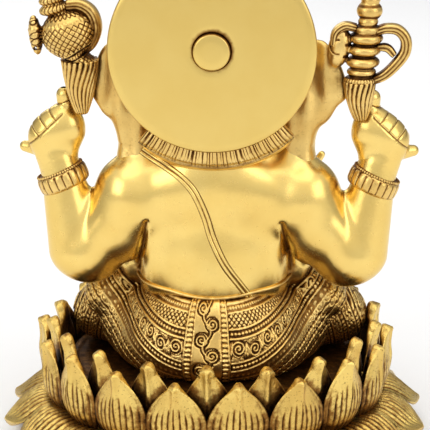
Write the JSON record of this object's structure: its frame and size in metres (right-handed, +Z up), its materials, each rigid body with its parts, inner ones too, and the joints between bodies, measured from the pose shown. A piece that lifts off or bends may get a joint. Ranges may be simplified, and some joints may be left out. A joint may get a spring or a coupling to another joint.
{
  "type": "ganesha idol",
  "caption": "Seated four-armed elephant-headed idol in cast brass with a halo disc behind the crown, on a round double lotus base of pointed petals.",
  "frame": {"origin": "centre of the foot ring, on the surface that the idol stands on", "axes": "+Z up; the figure faces -Y, and its own left hand side is +X"},
  "size_m": [0.2234, 0.2268, 0.2663],
  "materials": {
    "polished_brass": "polished smooth casting, soft satin sheen with fine hand-buffing marks",
    "antique_brass": "carved casting, rubbed bright on its high points with dark brown patina in its recesses",
    "bolt_steel": "plain hardware steel"
  },
  "bodies": {
    "root": {"torso": "polished_brass", "head": "polished_brass", "trunk": "polished_brass", "tusk_left": "polished_brass", "tusk_right": "polished_brass", "ear_left": "polished_brass", "ear_right": "polished_brass", "foot_left": "polished_brass", "foot_right": "polished_brass", "rear_upper_arm_left": "polished_brass", "rear_upper_arm_right": "polished_brass", "rear_forearm_left": "polished_brass", "rear_forearm_right": "polished_brass", "rear_hand_left": "polished_brass", "rear_hand_right": "polished_brass", "front_upper_arm_left": "polished_brass", "front_upper_arm_right": "polished_brass", "front_forearm_left": "polished_brass", "front_forearm_right": "polished_brass", "front_hand_left": "polished_brass", "front_hand_right": "polished_brass", "halo_disc": "polished_brass", "halo_rivet": "polished_brass", "halo_spacer": "polished_brass", "sacred_thread": "polished_brass", "sweet": "polished_brass", "foot_ring": "antique_brass", "base_shell": "antique_brass", "seat_disc": "antique_brass", "lower_petals_under": "antique_brass", "lower_petals": "antique_brass", "outer_petals": "antique_brass", "inner_petals": "antique_brass", "hips_dhoti": "antique_brass", "back_panel": "antique_brass", "waist_belt": "antique_brass", "leg_left": "antique_brass", "leg_right": "antique_brass", "anklet_left": "antique_brass", "anklet_right": "antique_brass", "rear_bangle_left": "antique_brass", "rear_bangle_right": "antique_brass", "front_bangle_left": "antique_brass", "front_bangle_right": "antique_brass", "armlet_left": "antique_brass", "armlet_right": "antique_brass", "crown": "antique_brass", "crown_finial": "antique_brass", "hair_fringe": "antique_brass", "bud_stem_wrap": "antique_brass", "lotus_bud": "antique_brass", "goad_stem_wrap": "antique_brass", "goad": "antique_brass", "sweet_bowl": "antique_brass", "seat_bolt": "bolt_steel", "seat_washer": "bolt_steel"}
  },
  "joints": []
}
